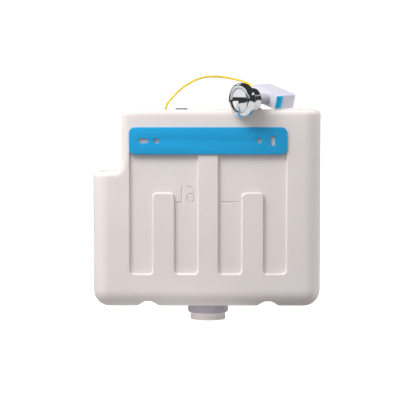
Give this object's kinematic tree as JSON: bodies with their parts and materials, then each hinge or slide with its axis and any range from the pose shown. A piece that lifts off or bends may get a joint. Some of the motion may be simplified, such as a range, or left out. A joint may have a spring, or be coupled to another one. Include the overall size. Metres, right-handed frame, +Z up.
{
  "type": "toilet cistern",
  "caption": "Slim concealed toilet cistern: notched blow-moulded tank with wall bracket, flush valve, side inlet and a cable-linked chrome push button.",
  "frame": {"origin": "midway between the two wall screw holes, on the wall face of the bracket", "axes": "+Z up, +X right as seen on the wall side, +Y away from the wall; -Y points into the wall"},
  "size_m": [0.38, 0.1721, 0.4123],
  "materials": {
    "tank_polyethylene": "satin off-white, blow-moulded",
    "bracket_blue": "satin blue, injection-moulded",
    "lock_grey": "dark grey, moulded",
    "lock_dark": "near black, moulded",
    "black_rubber": "matt black",
    "outlet_white": "off-white, moulded",
    "nut_grey": "light grey, moulded",
    "valve_white": "white, moulded",
    "valve_blue": "light blue, moulded",
    "button_chrome": "bright chrome plate",
    "neck_grey": "pale grey, moulded",
    "actuator_white": "white, moulded",
    "slide_blue": "blue, moulded",
    "steel": "plain steel",
    "cable_yellow": "yellow sleeve"
  },
  "bodies": {
    "root": {"tank": "tank_polyethylene", "tank_lid": "tank_polyethylene", "lid_gasket": "black_rubber", "cable_gland": "black_rubber", "wall_bracket": "bracket_blue", "outlet_body": "outlet_white", "outlet_washer": "black_rubber", "outlet_back_nut": "nut_grey", "valve_cage": "valve_white", "lever_pin": "steel", "cable_stop": "steel", "cable_inner_run": "cable_yellow", "inlet_bush": "valve_white", "inlet_washer": "black_rubber", "inlet_nut": "valve_white", "fill_valve_body": "valve_white", "fill_valve_cap": "valve_blue", "silencer_tube": "valve_white", "float_lever_pin": "steel", "button_bezel": "button_chrome", "button_barrel": "button_chrome", "clamp_nut": "button_chrome", "guide_neck": "neck_grey", "actuator_housing": "actuator_white", "actuator_cover": "actuator_white", "cover_screws": "steel", "rocker_pin": "steel", "cable_ferrule": "steel", "cable": "cable_yellow"},
    "lid_lock_left": {"lid_lock_left": "lock_grey"},
    "lid_lock_right": {"lid_lock_right": "lock_dark"},
    "button": {"push_button": "button_chrome", "push_rod": "actuator_white"},
    "rocker": {"rocker": "actuator_white", "rocker_spring": "steel"},
    "actuator_wire": {"actuator_wire": "steel"},
    "lock_slide": {"lock_slide": "slide_blue"},
    "lift_lever": {"lift_lever": "valve_white"},
    "pull_wire": {"pull_wire": "steel"},
    "piston": {"overflow_piston": "valve_white", "piston_float": "valve_white", "flush_seal": "black_rubber"},
    "float": {"float_cup": "valve_white", "float_rod": "steel"},
    "float_lever": {"float_lever": "valve_blue"}
  },
  "joints": [
    {"name": "button_press", "type": "slide", "parent": "root", "child": "button", "axis": [0.7479, 0.6617, 0.0523], "range_m": [0, 0.0063], "stiffness_N_per_m": 300, "springref_m": -0.01},
    {"name": "rocker_turn", "type": "hinge", "parent": "root", "child": "rocker", "pos_m": [0.10954, 0.05013, 0.07554], "axis": [0.1562, -0.2521, 0.955], "range_deg": [0, 26.6]},
    {"name": "actuator_wire_draw", "type": "slide", "parent": "root", "child": "actuator_wire", "axis": [0.6451, -0.7061, -0.292], "range_m": [0, 0.0095]},
    {"name": "lock_slide_travel", "type": "slide", "parent": "root", "child": "lock_slide", "axis": [-0.1562, 0.2521, -0.955], "range_m": [0, 0.0025]},
    {"name": "lift_lever_turn", "type": "hinge", "parent": "root", "child": "lift_lever", "pos_m": [-0.02, 0.068, -0.0125], "axis": [0, -1, 0], "range_deg": [0, 21.6]},
    {"name": "pull_wire_draw", "type": "slide", "parent": "root", "child": "pull_wire", "axis": [-1, 0, 0], "range_m": [0, 0.0095]},
    {"name": "piston_lift", "type": "slide", "parent": "root", "child": "piston", "axis": [0, 0, 1], "range_m": [0, 0.0079]},
    {"name": "float_rise", "type": "slide", "parent": "root", "child": "float", "axis": [0, 0, 1], "range_m": [0, 0.007]},
    {"name": "float_lever_turn", "type": "hinge", "parent": "root", "child": "float_lever", "pos_m": [-0.084, 0.068, -0.0155], "axis": [0, -1, 0], "range_deg": [0, 23.6]},
    {"name": "lid_lock_left_turn", "type": "hinge", "parent": "root", "child": "lid_lock_left", "pos_m": [-0.045, 0.068, 0.0515], "axis": [0, 0, -1], "range_deg": [0, 90]},
    {"name": "lid_lock_right_turn", "type": "hinge", "parent": "root", "child": "lid_lock_right", "pos_m": [0.081, 0.068, 0.0515], "axis": [0, 0, 1], "range_deg": [0, 90]}
  ],
  "couplings": [
    {"joint": "rocker_turn", "follows": "button_press", "rad_per_m": 73.6},
    {"joint": "actuator_wire_draw", "follows": "button_press", "ratio": 1.507},
    {"joint": "lift_lever_turn", "follows": "button_press", "rad_per_m": 59.8},
    {"joint": "pull_wire_draw", "follows": "button_press", "ratio": 1.507},
    {"joint": "piston_lift", "follows": "button_press", "ratio": 1.253},
    {"joint": "float_lever_turn", "follows": "float_rise", "rad_per_m": 58.8}
  ]
}
